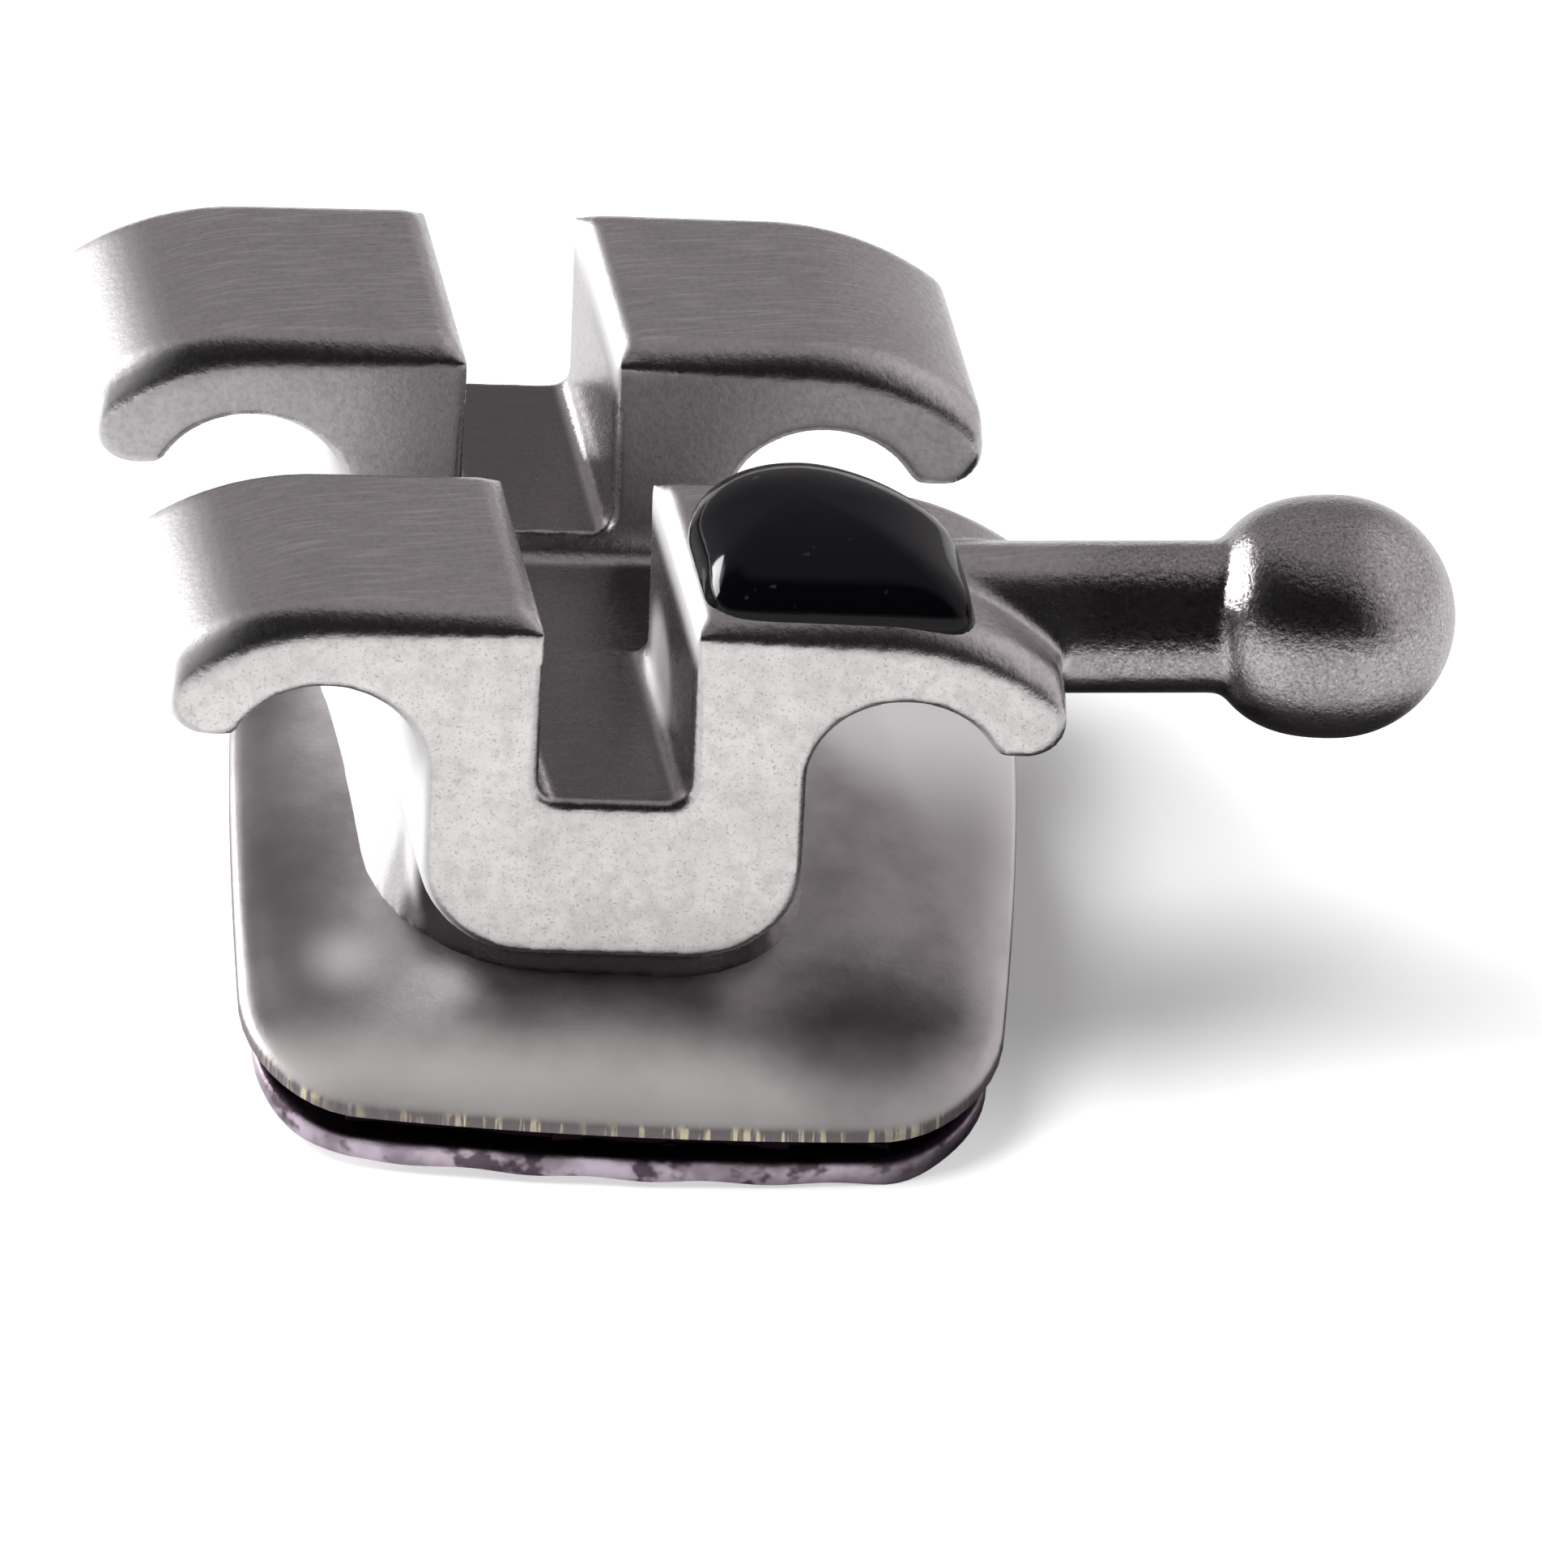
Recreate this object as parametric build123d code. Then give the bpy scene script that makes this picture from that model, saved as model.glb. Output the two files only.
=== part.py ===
from build123d import *
from math import asin, cos, degrees, radians, sin, sqrt, tan
import os

# Orthodontic bracket: a twin tie-wing body with a ball hook, on a curved bonding pad.
# Lengths are millimetres. Y runs along the archwire slot, X across it towards the hook,
# and Z from the tooth to the wings. The origin is the base point: the middle of the
# bonding surface, on the tooth side of the mesh.

# Tooth surface: its long axis is turned from X by the tip, and it is curved two ways
tip_angle = 9.0
mesiodistal_radius = 4.4
occlusogingival_radius = 12.0

# Bonding pad
pad_width = 3.0
pad_length = 3.96
pad_offset = 0.29
pad_thickness = 0.15
pad_end_bow = 0.13
pad_side_bow = 0.09
pad_corner_radius = 0.42
pad_edge_radius = 0.1

# Mesh: round wires across the tooth, under a thin wall with a gap in each square of the weave
mesh_wire = 0.14
mesh_pitch = 0.39
mesh_opening = 0.21
mesh_wall = 0.12
mesh_cover = 0.06
mesh_inset = 0.05

# Archwire slot
slot_width = 0.56
slot_depth = 0.76
slot_chamfer = 0.07
slot_corner_radius = 0.05

# Tie wings: flat tops, crowns that curve down to the noses, ligature grooves underneath
wing_span = 3.34
wing_length = 1.09
wing_gap = 0.82
wing_thickness = 0.25
crown_width = 0.69
crown_drop = 0.25
nose_width = 0.25
nose_drop = 0.25
nose_radius = 0.16
nose_edge_radius = 0.05
end_edge_radius = 0.1

# Stem, saddle between the wing pairs, and foot
body_height = 1.38
stem_width = 1.43
stem_corner_radius = 0.42
saddle_depth = 0.1
saddle_radius = 0.12
foot_width = 1.06
foot_recess = 0.26
foot_corner_radius = 0.16

# Ball hook on the near wing, and the web that flares its root
post_diameter = 0.575
ball_diameter = 0.92
hook_reach = 1.09
hook_setback = 0.6
hook_depth = 0.25
hook_rise_angle = 2.0
hook_root_radius = 0.15
hook_web_height = 0.15

# Resin dot on the same wing
dot_height = 0.28
dot_length = 1.0
dot_end_margin = 0.06
dot_slot_margin = 0.04
dot_corner_radius = 0.28
dot_rim_height = 0.07

# Most of a wall that one rounding may take, and how far construction shapes run past their work
round_share = 0.65
overrun = 1.3

# Levels and directions that follow from the sizes above
tip_slope = tan(radians(tip_angle))
tooth_frame = Rotation(0, 0, -tip_angle)
mesh_thickness = mesh_wire + mesh_cover
pad_top = mesh_thickness + pad_thickness
wing_top = pad_top + body_height
half_span = wing_span / 2
half_stem = stem_width / 2
half_slot = slot_width / 2
half_gap = wing_gap / 2
half_length = half_gap + wing_length
groove_width = half_span - nose_width - half_stem
groove_radius = groove_width + nose_drop - sqrt(2 * groove_width * nose_drop)
groove_x = half_stem + groove_radius
groove_z = wing_top - wing_thickness - groove_radius
nose_top = wing_top - crown_drop
nose_bottom = wing_top - wing_thickness - nose_drop
nose_height = nose_top - nose_bottom
slot_floor = wing_top - slot_depth
saddle_level = slot_floor - saddle_depth
far_axis = Axis((0, 0, -occlusogingival_radius), (0, 1, 0))
near_axis = Axis((0, 0, -mesiodistal_radius), (1, 0, 0))
reach = wing_span + hook_reach + ball_diameter
near = wing_thickness / 100


def limited(radius, *walls):
    return min(radius, *[wall * round_share for wall in walls])


def corners_at(sketch, x, z):
    return [v for v in sketch.vertices() if abs(abs(v.X) - x) < near and abs(v.Y - z) < near]


def body_section():
    crown_start = (half_span - crown_width, wing_top)
    crown_end = (half_span, nose_top)
    groove_apex = (groove_x, wing_top - wing_thickness)
    groove_start = (half_stem, groove_z)
    groove_end = (half_span - nose_width, nose_bottom)
    half = Curve() + [
        Line((0, slot_floor), (half_slot, slot_floor)),
        Line((half_slot, slot_floor), (half_slot, wing_top - slot_chamfer)),
        Line((half_slot, wing_top - slot_chamfer), (half_slot + slot_chamfer, wing_top)),
        Line((half_slot + slot_chamfer, wing_top), crown_start),
        TangentArc(crown_start, crown_end, tangent=(1, 0)),
        Line(crown_end, (half_span, nose_bottom)),
        Line((half_span, nose_bottom), groove_end),
        TangentArc(groove_apex, groove_end, tangent=(1, 0)),
        TangentArc(groove_apex, groove_start, tangent=(-1, 0)),
        Line(groove_start, (half_stem, pad_top)),
        Line((half_stem, pad_top), (0, pad_top)),
    ]
    nose_round = limited(nose_radius, nose_height, nose_width)
    nose_edge = min(nose_edge_radius, nose_width * (1 - round_share))
    stem_round = limited(stem_corner_radius, half_stem, groove_z - pad_top)
    outline = make_face(half + mirror(half, Plane.YZ))
    outline = fillet(corners_at(outline, half_span, nose_bottom), nose_round)
    outline = fillet(corners_at(outline, half_span - nose_width, nose_bottom), nose_edge)
    outline = fillet(corners_at(outline, half_stem, pad_top), stem_round)
    return fillet(corners_at(outline, half_slot, slot_floor), limited(slot_corner_radius, half_slot))


def skewed_plan(x_low, x_high, y_low, y_high):
    # Four-sided plan: two sides along the slot, two along the tooth
    return make_face(Polyline(
        (x_low, y_low - x_low * tip_slope),
        (x_high, y_low - x_high * tip_slope),
        (x_high, y_high - x_high * tip_slope),
        (x_low, y_high - x_low * tip_slope),
        close=True,
    ))


def skewed_prism(half_width, y_low, y_high, z_low, z_high):
    plan = skewed_plan(-half_width, half_width, y_low, y_high)
    return extrude(Plane.XY.offset(z_low) * plan, z_high - z_low)


def wing_end_edges(body):
    # Upper edges of the four wing ends, along the flat tops and down the crowns
    ends = (-half_length, -half_gap, half_gap, half_length)
    chosen = []
    for edge in body.edges():
        middle = edge @ 0.5
        across = abs((edge @ 0).X - (edge @ 1).X)
        place = middle.Y + middle.X * tip_slope
        on_end = min(abs(place - end) for end in ends) < near
        on_flat = abs(middle.Z - wing_top) < near
        on_crown = abs(middle.X) > half_span - crown_width and middle.Z > nose_top + crown_drop / 2
        if on_end and across > near and (on_flat or on_crown):
            chosen.append(edge)
    return chosen


def hook_axis():
    # Point at the wing tip and direction: along the tooth, lifted a little off it
    turn = radians(tip_angle)
    rise = radians(hook_rise_angle)
    tip_y = hook_setback - half_length - half_span * tip_slope
    along = Vector(cos(turn) * cos(rise), -sin(turn) * cos(rise), sin(rise))
    return Vector(half_span, tip_y, wing_top - hook_depth), along


def ball_hook():
    tip_point, along = hook_axis()
    root = Plane(origin=tip_point - along * crown_width, z_dir=along)
    post = extrude(root * Circle(post_diameter / 2), crown_width + hook_reach)
    groove = extrude(Plane.XZ * Pos(groove_x, groove_z) * Circle(groove_radius), reach, both=True)
    ball = Pos(*(tip_point + along * hook_reach)) * Sphere(ball_diameter / 2)
    return post - groove + ball


def hook_root_web():
    # Flare on both sides of the post where it leaves the wing's nose
    tip_point, along = hook_axis()
    inner = post_diameter / 2
    outer = inner + hook_root_radius
    embedded = -nose_width * round_share
    flare = Curve() + [
        Line((embedded, -outer), (0, -outer)),
        RadiusArc((0, -outer), (hook_root_radius, -inner), hook_root_radius),
        Line((hook_root_radius, -inner), (hook_root_radius, inner)),
        RadiusArc((hook_root_radius, inner), (0, outer), hook_root_radius),
        Line((0, outer), (embedded, outer)),
        Line((embedded, outer), (embedded, -outer)),
    ]
    level = (nose_top + nose_bottom - hook_web_height) / 2
    corner = (tip_point.X, tip_point.Y, level)
    frame = Plane(origin=corner, x_dir=(along.X, along.Y, 0), z_dir=(0, 0, 1))
    web = extrude(frame * make_face(flare), hook_web_height)
    return web & skewed_prism(reach, -half_length, -half_gap, pad_top, wing_top)


def tooth_shell(low, high):
    # Wall between two surfaces parallel to the tooth: an arc across it, turned about a far axis
    ring = Circle(mesiodistal_radius + high) - Circle(mesiodistal_radius + low)
    upper = Rectangle(pad_length * overrun, 2 * mesiodistal_radius)
    arc = Plane.YZ * ((Pos(0, -mesiodistal_radius) * ring) & upper)
    half_turn = degrees((pad_width / 2 + pad_offset) * overrun / occlusogingival_radius)
    return revolve(arc.rotate(far_axis, -half_turn), far_axis, 2 * half_turn)


def pad_outline(inset):
    half_width = pad_width / 2 - inset
    half_height = pad_length / 2 - inset
    corner_x = half_width - pad_side_bow
    corner_y = half_height - pad_end_bow
    outline = make_face(Curve() + [
        ThreePointArc((-corner_x, -corner_y), (0, -half_height), (corner_x, -corner_y)),
        ThreePointArc((corner_x, -corner_y), (half_width, 0), (corner_x, corner_y)),
        ThreePointArc((corner_x, corner_y), (0, half_height), (-corner_x, corner_y)),
        ThreePointArc((-corner_x, corner_y), (-half_width, 0), (-corner_x, -corner_y)),
    ])
    return Pos(pad_offset, 0) * fillet(outline.vertices(), pad_corner_radius - inset)


def upright(sketch):
    return extrude(Pos(0, 0, -mesiodistal_radius / 2) * sketch, mesiodistal_radius)


def base_pad():
    pad = tooth_shell(mesh_thickness, pad_top) & upright(pad_outline(0))
    rim = pad.faces().sort_by(Axis.Z)[-1].edges()
    return tooth_frame * fillet(rim, limited(pad_edge_radius, pad_thickness))


def weave_gaps():
    # One square gap between neighbouring wires, wherever it lies whole within the outline.
    # The rows are even in number, so that a wire lies along the crest.
    columns = int(pad_width / mesh_pitch)
    rows = 2 * int(pad_length / 2 / mesh_pitch)
    inner = pad_outline(mesh_inset + mesh_wire / 2).face()
    gaps = []
    for column in range(columns):
        for row in range(rows):
            x = pad_offset + (column - (columns - 1) / 2) * mesh_pitch
            y = (row - (rows - 1) / 2) * mesh_pitch
            gap = Pos(x, y) * Rectangle(mesh_opening, mesh_opening)
            if all(inner.is_inside(corner.center()) for corner in gap.vertices()):
                gaps.append(gap)
    return gaps


def mesh_wires():
    # Round wires across the tooth, between the columns of gaps, each ending just inside the outline
    columns = int(pad_width / mesh_pitch)
    outline = pad_outline(mesh_inset + mesh_wire / 2)
    section = Plane.XZ * Pos(0, mesh_wire / 2) * Circle(mesh_wire / 2)
    wires = []
    for column in range(1, columns):
        x = pad_offset + (column - columns / 2) * mesh_pitch
        strip = outline & Pos(x, 0) * Rectangle(mesh_wire, pad_length)
        half_turn = degrees(asin(strip.bounding_box().max.Y / mesiodistal_radius))
        wire = revolve(section.rotate(near_axis, -half_turn), near_axis, 2 * half_turn)
        wires.append(wire.rotate(far_axis, degrees(x / occlusogingival_radius)))
    return wires


def bonding_mesh():
    lattice = upright(pad_outline(mesh_inset) - weave_gaps())
    ribbed_wall = tooth_shell(mesh_thickness - mesh_wall, mesh_thickness) + mesh_wires()
    return tooth_frame * (ribbed_wall & lattice)


def wing_body():
    far_below = pad_top - mesiodistal_radius / 2
    body = extrude(Plane.XZ * body_section(), reach, both=True)
    body = body & skewed_prism(reach, -half_length, half_length, far_below, wing_top + reach)
    saddle = skewed_prism(reach, -half_gap, half_gap, saddle_level, wing_top + reach)
    saddle_edges = saddle.faces().sort_by(Axis.Z)[0].edges().sort_by(SortBy.LENGTH)[-2:]
    body = body - fillet(saddle_edges, limited(saddle_radius, half_gap))
    body = fillet(wing_end_edges(body), limited(end_edge_radius, wing_thickness))
    foot_half = half_length - foot_recess
    foot = skewed_prism(foot_width / 2, -foot_half, foot_half, far_below, saddle_level)
    foot = fillet(foot.edges().filter_by(Axis.Z), limited(foot_corner_radius, foot_width / 2))
    pad_and_below = tooth_frame * tooth_shell(-mesiodistal_radius * round_share, pad_top)
    return body + (foot - pad_and_below) + ball_hook() + hook_root_web()


def identification_dot(body):
    # Drop of resin that fills the wing's flat top: a dome over a rounded plan, seated on the wing
    slot_side = half_slot + dot_slot_margin
    hook_side = slot_side + dot_length
    near_y = -half_length + dot_end_margin
    far_y = -half_gap - dot_end_margin
    plan = skewed_plan(slot_side, hook_side, near_y, far_y)
    plan = fillet(plan.vertices(), limited(dot_corner_radius, (far_y - near_y) / 2, dot_length / 2))
    seat = wing_thickness * round_share
    drop = extrude(Pos(0, 0, wing_top - seat) * plan, seat + dot_height)
    crown = dot_height - dot_rim_height
    dome_radius = ((dot_length / 2) ** 2 + crown ** 2) / (2 * crown)
    middle_x = (slot_side + hook_side) / 2
    middle_y = (near_y + far_y) / 2 - middle_x * tip_slope
    dome = Pos(middle_x, middle_y, wing_top + dot_height - dome_radius) * Sphere(dome_radius)
    return (drop & dome) - body


os.makedirs("parts", exist_ok=True)
body = wing_body()
pieces = {
    "wing_body": body,
    "base_pad": base_pad(),
    "bonding_mesh": bonding_mesh(),
    "identification_dot": identification_dot(body),
}
for name, piece in pieces.items():
    print(name, len(piece.solids()), round(piece.volume, 4), piece.is_valid)
    export_step(piece, f"parts/{name}.step")
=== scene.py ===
from math import asin, atan2, cos, degrees, pi, radians, sin, sqrt

import bmesh
import bpy
from mathutils import Matrix, Vector


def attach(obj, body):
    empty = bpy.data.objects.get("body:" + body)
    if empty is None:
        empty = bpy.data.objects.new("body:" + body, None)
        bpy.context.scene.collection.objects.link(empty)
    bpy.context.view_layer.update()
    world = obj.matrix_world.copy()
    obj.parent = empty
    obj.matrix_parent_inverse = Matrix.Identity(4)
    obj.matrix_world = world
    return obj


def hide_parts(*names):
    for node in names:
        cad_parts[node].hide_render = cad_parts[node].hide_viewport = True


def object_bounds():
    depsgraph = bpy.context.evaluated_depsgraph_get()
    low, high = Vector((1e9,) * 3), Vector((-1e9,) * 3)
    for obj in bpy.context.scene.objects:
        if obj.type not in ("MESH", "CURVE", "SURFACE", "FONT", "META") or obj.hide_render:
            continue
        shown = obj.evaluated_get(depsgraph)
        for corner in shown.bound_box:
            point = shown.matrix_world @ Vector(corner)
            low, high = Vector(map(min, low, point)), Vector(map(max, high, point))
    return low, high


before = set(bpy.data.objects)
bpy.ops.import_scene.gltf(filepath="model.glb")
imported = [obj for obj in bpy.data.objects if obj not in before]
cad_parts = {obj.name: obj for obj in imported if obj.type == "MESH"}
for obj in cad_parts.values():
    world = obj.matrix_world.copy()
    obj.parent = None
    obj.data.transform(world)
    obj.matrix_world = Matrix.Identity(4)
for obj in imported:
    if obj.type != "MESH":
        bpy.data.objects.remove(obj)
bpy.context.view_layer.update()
print("frame loaded, nodes:", ", ".join(sorted(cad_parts)))

# Pieces are modelled in millimetres and brought to metres when they are finished.
milli = 0.001
mergeReach = 0.0005
slack = 0.01
straight = 0.9
smallestRing = 0.02
searchSteps = 40

# The tooth that the pad is curved for, and the tip that turns it from the slot
tooth = {
    "tip": radians(9.0),
    "acrossRadius": 4.4,
    "alongRadius": 12.0,
}
endNormal = Vector((sin(tooth["tip"]), cos(tooth["tip"]), 0))
toothTurn = Matrix.Rotation(-tooth["tip"], 4, "Z")
endSkew = Matrix(((1, 0, 0, 0), (-endNormal.x / endNormal.y, 1, 0, 0), (0, 0, 1, 0), (0, 0, 0, 1)))


# Working helpers

def clearSelection():
    if bpy.context.object and bpy.context.object.mode != "OBJECT":
        bpy.ops.object.mode_set(mode="OBJECT")
    bpy.ops.object.select_all(action="DESELECT")


def activate(piece):
    clearSelection()
    piece.select_set(True)
    bpy.context.view_layer.objects.active = piece


def editPiece(piece):
    activate(piece)
    bpy.ops.object.mode_set(mode="EDIT")
    bpy.ops.mesh.select_all(action="SELECT")


def leaveEdit():
    bpy.ops.object.mode_set(mode="OBJECT")


def pickIn(piece, kind, test):
    # in edit mode: select only the verts, edges or faces that pass the test
    bpy.ops.mesh.select_mode(type=kind)
    bpy.ops.mesh.select_all(action="DESELECT")
    sheet = bmesh.from_edit_mesh(piece.data)
    parts = {"VERT": sheet.verts, "EDGE": sheet.edges, "FACE": sheet.faces}[kind]
    count = 0
    for part in parts:
        if test(part):
            part.select_set(True)
            count += 1
    bmesh.update_edit_mesh(piece.data)
    return count


def middleOf(edge):
    return (edge.verts[0].co + edge.verts[1].co) / 2


def applyModifier(piece, kind, **settings):
    activate(piece)
    modifier = piece.modifiers.new(kind.lower(), kind)
    for key, value in settings.items():
        setattr(modifier, key, value)
    bpy.ops.object.modifier_apply(modifier=modifier.name)


def cutWith(piece, tool):
    applyModifier(piece, "BOOLEAN", operation="DIFFERENCE", solver="EXACT", object=tool)
    bpy.data.objects.remove(tool)


def joinPieces(main, others):
    activate(main)
    for other in others:
        other.select_set(True)
    bpy.ops.object.join()
    return bpy.context.object


def placeMesh(piece, matrix):
    piece.data.transform(matrix)
    piece.data.update()


def mendNormals(piece):
    editPiece(piece)
    bpy.ops.mesh.remove_doubles(threshold=mergeReach)
    bpy.ops.mesh.select_all(action="SELECT")
    bpy.ops.mesh.normals_make_consistent(inside=False)
    leaveEdit()


def lowerFace(face):
    # the one wide face that looks down
    return face.normal.z < -straight and len(face.verts) == pad["sides"]


def startLine(name, x, z):
    # a single vertex to trace a profile from
    clearSelection()
    bpy.ops.mesh.primitive_plane_add(size=0.1)
    piece = bpy.context.object
    piece.name = name
    editPiece(piece)
    bpy.ops.mesh.select_mode(type="VERT")
    bpy.ops.mesh.merge(type="CENTER")
    bpy.ops.transform.translate(value=(x, 0, z))
    return piece


def lineBy(dx, dz):
    bpy.ops.mesh.extrude_region_move(TRANSFORM_OT_translate={"value": (dx, 0, dz)})


def arcRound(x, z, angle, steps):
    bpy.ops.mesh.spin(steps=steps, angle=radians(angle), center=(x, 0, z), axis=(0, 1, 0))


def bendToTooth(x, y, height):
    # height of a point over the curved tooth surface, at its place in plan
    across = tooth["acrossRadius"]
    along = tooth["alongRadius"]
    rise = sqrt((across + height) ** 2 - y * y) - across
    return sqrt((along + rise) ** 2 - x * x) - along


def bendPiece(piece):
    for vert in piece.data.vertices:
        vert.co.z = bendToTooth(vert.co.x, vert.co.y, vert.co.z)
    piece.data.update()


def finishPiece(piece, name, node, smoothAngle=None):
    activate(piece)
    piece.name = name
    piece.data.name = name
    piece.scale = (milli, milli, milli)
    bpy.ops.object.transform_apply(location=True, rotation=True, scale=True)
    if smoothAngle is None:
        bpy.ops.object.shade_smooth()
    else:
        bpy.ops.object.shade_smooth_by_angle(angle=radians(smoothAngle))
    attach(piece, "root")
    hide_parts(node)
    print(name, "faces:", len(piece.data.polygons))


# Wing body: the profile across the slot is traced, drawn out and cut to the skewed ends

body = {
    "top": 1.785,
    "slotHalf": 0.28,
    "slotFloor": 0.97,
    "slotCorner": 0.075,
    "slotChamfer": 0.07,
    "crownStart": 0.98,
    "tipX": 1.67,
    "crownDrop": 0.265,
    "noseBottom": 1.21,
    "noseWidth": 0.2571,
    "noseRound": 0.16,
    "wingThickness": 0.345,
    "grooveRadius": 0.3613,
    "stemHalf": 0.715,
    "stemBottom": 0.27,
    "stemRound": 0.42,
    "halfLength": 1.5,
    "halfGap": 0.41,
    "drawOut": 2.2,
    "saddleLevel": 0.87,
    "saddleRound": 0.12,
    "saddleReach": 3.0,
    "saddleCut": 1.0,
    "roundSteps": 8,
    "endChamfer": 0.09,
    "endReach": 0.003,
    "endFacing": 0.5,
    "edgeRound": 0.04,
    "edgeSteps": 3,
    "edgeAngle": radians(35),
    "voxel": 0.022,
    "relax": 0.5,
    "relaxSteps": 4,
}

arcSteps = {"slot": 6, "crown": 14, "nose": 8, "groove": 24, "stem": 12}

foot = {
    "halfWidth": 0.53,
    "halfLength": 1.24,
    "cornerRound": 0.16,
    "flareLow": 0.97,
    "flareHigh": 0.7,
    "flareLength": 1.42,
    "flareRound": 0.62,
    "low": -0.4,
    "sunk": 0.03,
    "top": 0.8,
    "cutterHalf": (2.2, 2.4),
    "cutterGrid": (24, 32),
    "cutterDepth": 1.5,
}

hook = {
    "postRadius": 0.2875,
    "ballRadius": 0.46,
    "reach": 1.09,
    "setback": 0.6,
    "depth": 0.305,
    "rise": radians(2.0),
    "rootInside": 0.69,
    "postSquareness": 2.9,
    "postTurn": radians(57),
    "postSides": 64,
    "ballFullness": 2.5,
    "ballStretch": 1.07,
    "ballFineness": 5,
    "grooveSides": 96,
    "grooveLength": 6,
}


def wingProfile():
    p = body
    crownRadius = ((p["tipX"] - p["crownStart"]) ** 2 + p["crownDrop"] ** 2) / (2 * p["crownDrop"])
    crownTurn = degrees(asin((p["tipX"] - p["crownStart"]) / crownRadius))
    grooveX = p["stemHalf"] + p["grooveRadius"]
    grooveZ = p["top"] - p["wingThickness"] - p["grooveRadius"]
    noseInner = p["tipX"] - p["noseWidth"]
    grooveStart = degrees(atan2(p["noseBottom"] - grooveZ, noseInner - grooveX))
    piece = startLine("wingBody", 0, p["slotFloor"])
    lineBy(p["slotHalf"] - p["slotCorner"], 0)
    arcRound(p["slotHalf"] - p["slotCorner"], p["slotFloor"] + p["slotCorner"], 90, arcSteps["slot"])
    lineBy(0, p["top"] - p["slotChamfer"] - p["slotFloor"] - p["slotCorner"])
    lineBy(p["slotChamfer"], p["slotChamfer"])
    lineBy(p["crownStart"] - p["slotHalf"] - p["slotChamfer"], 0)
    arcRound(p["crownStart"], p["top"] - crownRadius, -crownTurn, arcSteps["crown"])
    lineBy(0, p["noseBottom"] + p["noseRound"] - p["top"] + p["crownDrop"])
    arcRound(p["tipX"] - p["noseRound"], p["noseBottom"] + p["noseRound"], -90, arcSteps["nose"])
    lineBy(p["noseRound"] - p["noseWidth"], 0)
    arcRound(grooveX, grooveZ, 180 - grooveStart, arcSteps["groove"])
    lineBy(0, p["stemBottom"] + p["stemRound"] - grooveZ)
    arcRound(p["stemHalf"] - p["stemRound"], p["stemBottom"] + p["stemRound"], -90, arcSteps["stem"])
    lineBy(p["stemRound"] - p["stemHalf"], 0)
    leaveEdit()
    applyModifier(piece, "MIRROR", use_axis=(True, False, False), use_mirror_merge=True,
                  merge_threshold=2 * mergeReach)
    editPiece(piece)
    bpy.ops.mesh.remove_doubles(threshold=mergeReach)
    bpy.ops.mesh.select_all(action="SELECT")
    bpy.ops.mesh.edge_face_add()
    # drawn out well past both ends, then cut on the skew
    bpy.ops.transform.translate(value=(0, -p["drawOut"], 0))
    lengthways = (0, 2 * p["drawOut"], 0)
    bpy.ops.mesh.extrude_region_move(TRANSFORM_OT_translate={"value": lengthways})
    for side in (-1, 1):
        bpy.ops.mesh.select_all(action="SELECT")
        bpy.ops.mesh.bisect(plane_co=(0, side * p["halfLength"], 0), plane_no=endNormal * side,
                            use_fill=True, clear_outer=True)
    leaveEdit()
    mendNormals(piece)
    return piece


def saddleBlock():
    p = body
    clearSelection()
    bpy.ops.mesh.primitive_cube_add(size=2)
    block = bpy.context.object
    block.scale = (p["saddleReach"], p["halfGap"] * cos(tooth["tip"]), p["saddleCut"])
    block.location = (0, 0, p["saddleLevel"] + p["saddleCut"])
    bpy.ops.object.transform_apply(location=True, rotation=True, scale=True)
    editPiece(block)
    pickIn(block, "EDGE", lambda e: middleOf(e).z < p["saddleLevel"] + slack and abs(middleOf(e).y) > slack)
    bpy.ops.mesh.bevel(offset=p["saddleRound"], segments=p["roundSteps"], affect="EDGES")
    leaveEdit()
    placeMesh(block, toothTurn)
    return block


def chamferWingEnds(piece):
    # the upper edges of the four wing ends, along the flats and down the crowns
    p = body
    ends = (-p["halfLength"], -p["halfGap"], p["halfGap"], p["halfLength"])

    def onWingEnd(edge):
        if len(edge.link_faces) != 2:
            return False
        place = middleOf(edge).dot(endNormal) / endNormal.y
        across = abs(edge.verts[0].co.x - edge.verts[1].co.x)
        high = middleOf(edge).z > p["top"] - p["crownDrop"] - slack
        upward = max(face.normal.z for face in edge.link_faces) > p["endFacing"]
        atEnd = min(abs(place - end) for end in ends) < p["endReach"]
        inSlot = abs(middleOf(edge).x) < p["slotHalf"] + p["slotChamfer"] - mergeReach
        return atEnd and high and upward and across > p["endReach"] and not inSlot

    editPiece(piece)
    count = pickIn(piece, "EDGE", onWingEnd)
    bpy.ops.mesh.bevel(offset=p["endChamfer"], segments=1, affect="EDGES", clamp_overlap=False)
    leaveEdit()
    print("wing end edges chamfered:", count)


def toothCutter(height):
    # a slab whose upper face follows the tooth, at that height over it
    clearSelection()
    columns, rows = foot["cutterGrid"]
    bpy.ops.mesh.primitive_grid_add(x_subdivisions=columns, y_subdivisions=rows, size=2)
    slab = bpy.context.object
    slab.scale = (*foot["cutterHalf"], 1)
    bpy.ops.object.transform_apply(location=True, rotation=True, scale=True)
    for vert in slab.data.vertices:
        vert.co.z = bendToTooth(vert.co.x, vert.co.y, height)
    editPiece(slab)
    bpy.ops.mesh.extrude_region_move(TRANSFORM_OT_translate={"value": (0, 0, -foot["cutterDepth"])})
    leaveEdit()
    mendNormals(slab)
    placeMesh(slab, toothTurn)
    return slab


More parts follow.
